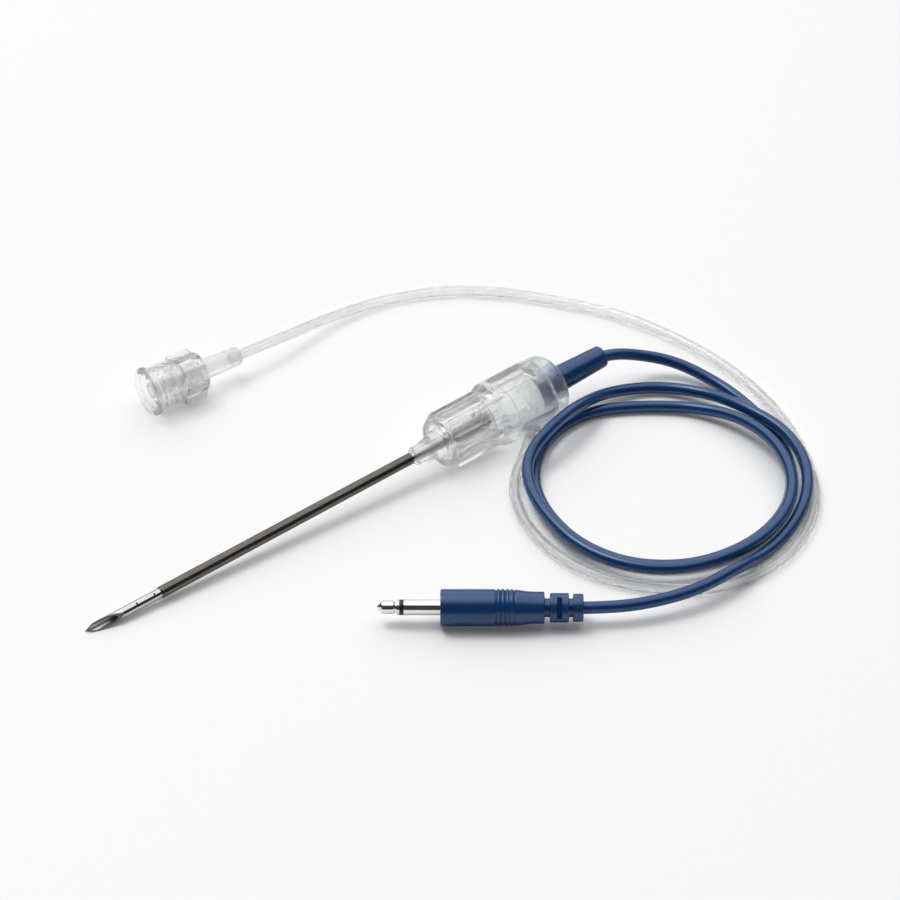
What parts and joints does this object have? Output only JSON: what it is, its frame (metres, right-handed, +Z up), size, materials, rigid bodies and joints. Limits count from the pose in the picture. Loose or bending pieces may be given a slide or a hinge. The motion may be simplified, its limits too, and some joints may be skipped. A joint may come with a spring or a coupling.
{
  "type": "nerve stimulation needle",
  "caption": "Insulated nerve block needle with a clear hub, a blue stimulator lead ending in a small jack plug, and a clear injection tube with a turning luer lock",
  "frame": {"origin": "on the floor under the middle of the needle with its hub and lead sleeve", "axes": "+X runs from the needle's point to the lead sleeve, +Z is up, the lead's loops and the plug lie towards -Y and the luer fitting towards +Y"},
  "size_m": [0.178, 0.1427, 0.0168],
  "materials": {
    "polished_steel": "polished",
    "needle_coating": "gloss",
    "clear_plastic": "clear",
    "milky_plastic": "satin",
    "clear_tube": "clear",
    "blue_vinyl": "satin",
    "dark_nickel": "satin",
    "nickel": "polished",
    "black_plastic": "gloss",
    "copper_wire": "satin"
  },
  "bodies": {
    "needle_set": {"cannula": "polished_steel", "shaft_insulation": "needle_coating", "hub_nose": "clear_plastic", "hub_shell": "clear_plastic", "flow_block": "milky_plastic", "contact_sleeve": "dark_nickel", "lead_conductor": "copper_wire", "rear_cap": "clear_plastic", "strain_relief": "blue_vinyl", "lead_cable": "blue_vinyl", "extension_tube": "clear_tube", "luer_body": "milky_plastic", "plug_tip": "nickel", "plug_insulator": "black_plastic", "plug_sleeve": "nickel", "plug_solder_cup": "nickel", "plug_conductor": "copper_wire", "plug_housing": "blue_vinyl"},
    "luer_collar": {"luer_lock_collar": "clear_plastic"}
  },
  "joints": [
    {"name": "luer_collar_spin", "type": "hinge", "parent": "needle_set", "child": "luer_collar", "pos_m": [-0.00957, 0.05877, 0.0061], "axis": [-0.999, 0.0444, 0], "continuous": true}
  ]
}
